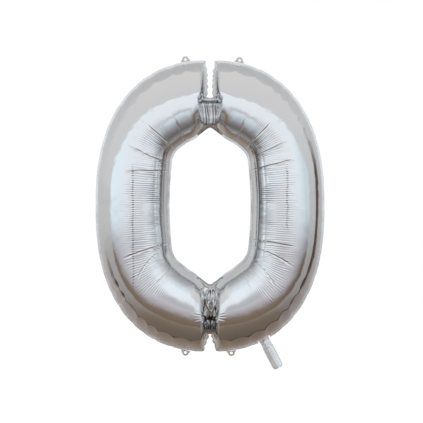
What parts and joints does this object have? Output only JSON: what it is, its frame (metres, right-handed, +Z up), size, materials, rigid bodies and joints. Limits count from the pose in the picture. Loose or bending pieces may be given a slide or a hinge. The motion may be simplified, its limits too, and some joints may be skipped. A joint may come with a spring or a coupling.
{
  "type": "foil number balloon",
  "caption": "Inflated silver foil number balloon, the figure 0, with a welded rim, hanging tabs and a self-sealing inflation tail.",
  "frame": {"origin": "on the upright centre line of the 0, in the plane of the welded rim, level with the holes of the two top hanging tabs", "axes": "+Z up along the figure, -Y towards the viewer in front, +X to the viewer's right"},
  "size_m": [0.6789, 0.2114, 0.9283],
  "materials": {
    "foil_panel": "mirror-bright metallised film, finely wrinkled",
    "welded_rim": "crimped heat-welded film, satin",
    "gathered_neck": "mirror-bright film gathered in upright folds",
    "tab_film": "thin half-clear metallised film",
    "tail_foil": "mirror-bright metallised film, crumpled at its root",
    "valve_film": "clear polyethylene film"
  },
  "bodies": {
    "right_half": {"right_front_foil": "foil_panel", "right_rear_foil": "foil_panel", "right_outer_seam": "welded_rim", "right_heel_seam": "welded_rim", "right_inner_seam": "welded_rim", "top_neck_front": "gathered_neck", "top_neck_rear": "gathered_neck", "bottom_neck_front": "gathered_neck", "bottom_neck_rear": "gathered_neck"},
    "left_half": {"left_front_foil": "foil_panel", "left_rear_foil": "foil_panel", "left_outer_seam": "welded_rim", "left_inner_seam": "welded_rim"},
    "top_left_tab": {"top_left_tab": "tab_film"},
    "top_right_tab": {"top_right_tab": "tab_film"},
    "bottom_left_tab": {"bottom_left_tab": "tab_film"},
    "bottom_right_tab": {"bottom_right_tab": "tab_film"},
    "tail": {"tail_front_foil": "tail_foil", "tail_rear_foil": "tail_foil"},
    "valve_front": {"valve_front_film": "valve_film"},
    "valve_rear": {"valve_rear_film": "valve_film"}
  },
  "joints": [
    {"name": "half_fold", "type": "hinge", "parent": "right_half", "child": "left_half", "pos_m": [0, 0, -0.433], "axis": [0, 0, 1], "range_deg": [-10, 10], "stiffness_Nm_per_rad": 0.5},
    {"name": "top_left_tab_bend", "type": "hinge", "parent": "left_half", "child": "top_left_tab", "pos_m": [-0.07195, 0, -0.0049], "axis": [0.9875, 0, 0.1577], "range_deg": [-75, 75], "stiffness_Nm_per_rad": 0.002},
    {"name": "top_right_tab_bend", "type": "hinge", "parent": "right_half", "child": "top_right_tab", "pos_m": [0.0862, 0, -0.00749], "axis": [0.9797, 0, -0.2007], "range_deg": [-75, 75], "stiffness_Nm_per_rad": 0.002},
    {"name": "bottom_left_tab_bend", "type": "hinge", "parent": "left_half", "child": "bottom_left_tab", "pos_m": [-0.07195, 0, -0.86114], "axis": [0.9875, 0, -0.1577], "range_deg": [-75, 75], "stiffness_Nm_per_rad": 0.002},
    {"name": "bottom_right_tab_bend", "type": "hinge", "parent": "right_half", "child": "bottom_right_tab", "pos_m": [0.06279, 0, -0.86247], "axis": [0.9913, 0, 0.1314], "range_deg": [-75, 75], "stiffness_Nm_per_rad": 0.002},
    {"name": "tail_bend", "type": "hinge", "parent": "right_half", "child": "tail", "pos_m": [0.16107, 0, -0.83078], "axis": [0.8879, 0, 0.4601], "range_deg": [-70, 70], "stiffness_Nm_per_rad": 0.01},
    {"name": "valve_front_part", "type": "hinge", "parent": "right_half", "child": "valve_front", "pos_m": [0.15719, 0, -0.82328], "axis": [0.8879, 0, 0.4601], "range_deg": [0, 8], "stiffness_Nm_per_rad": 0.002},
    {"name": "valve_rear_part", "type": "hinge", "parent": "right_half", "child": "valve_rear", "pos_m": [0.15719, 0, -0.82328], "axis": [0.8879, 0, 0.4601], "range_deg": [-8, 0], "stiffness_Nm_per_rad": 0.002}
  ],
  "couplings": [
    {"joint": "valve_rear_part", "follows": "valve_front_part", "ratio": -1}
  ]
}
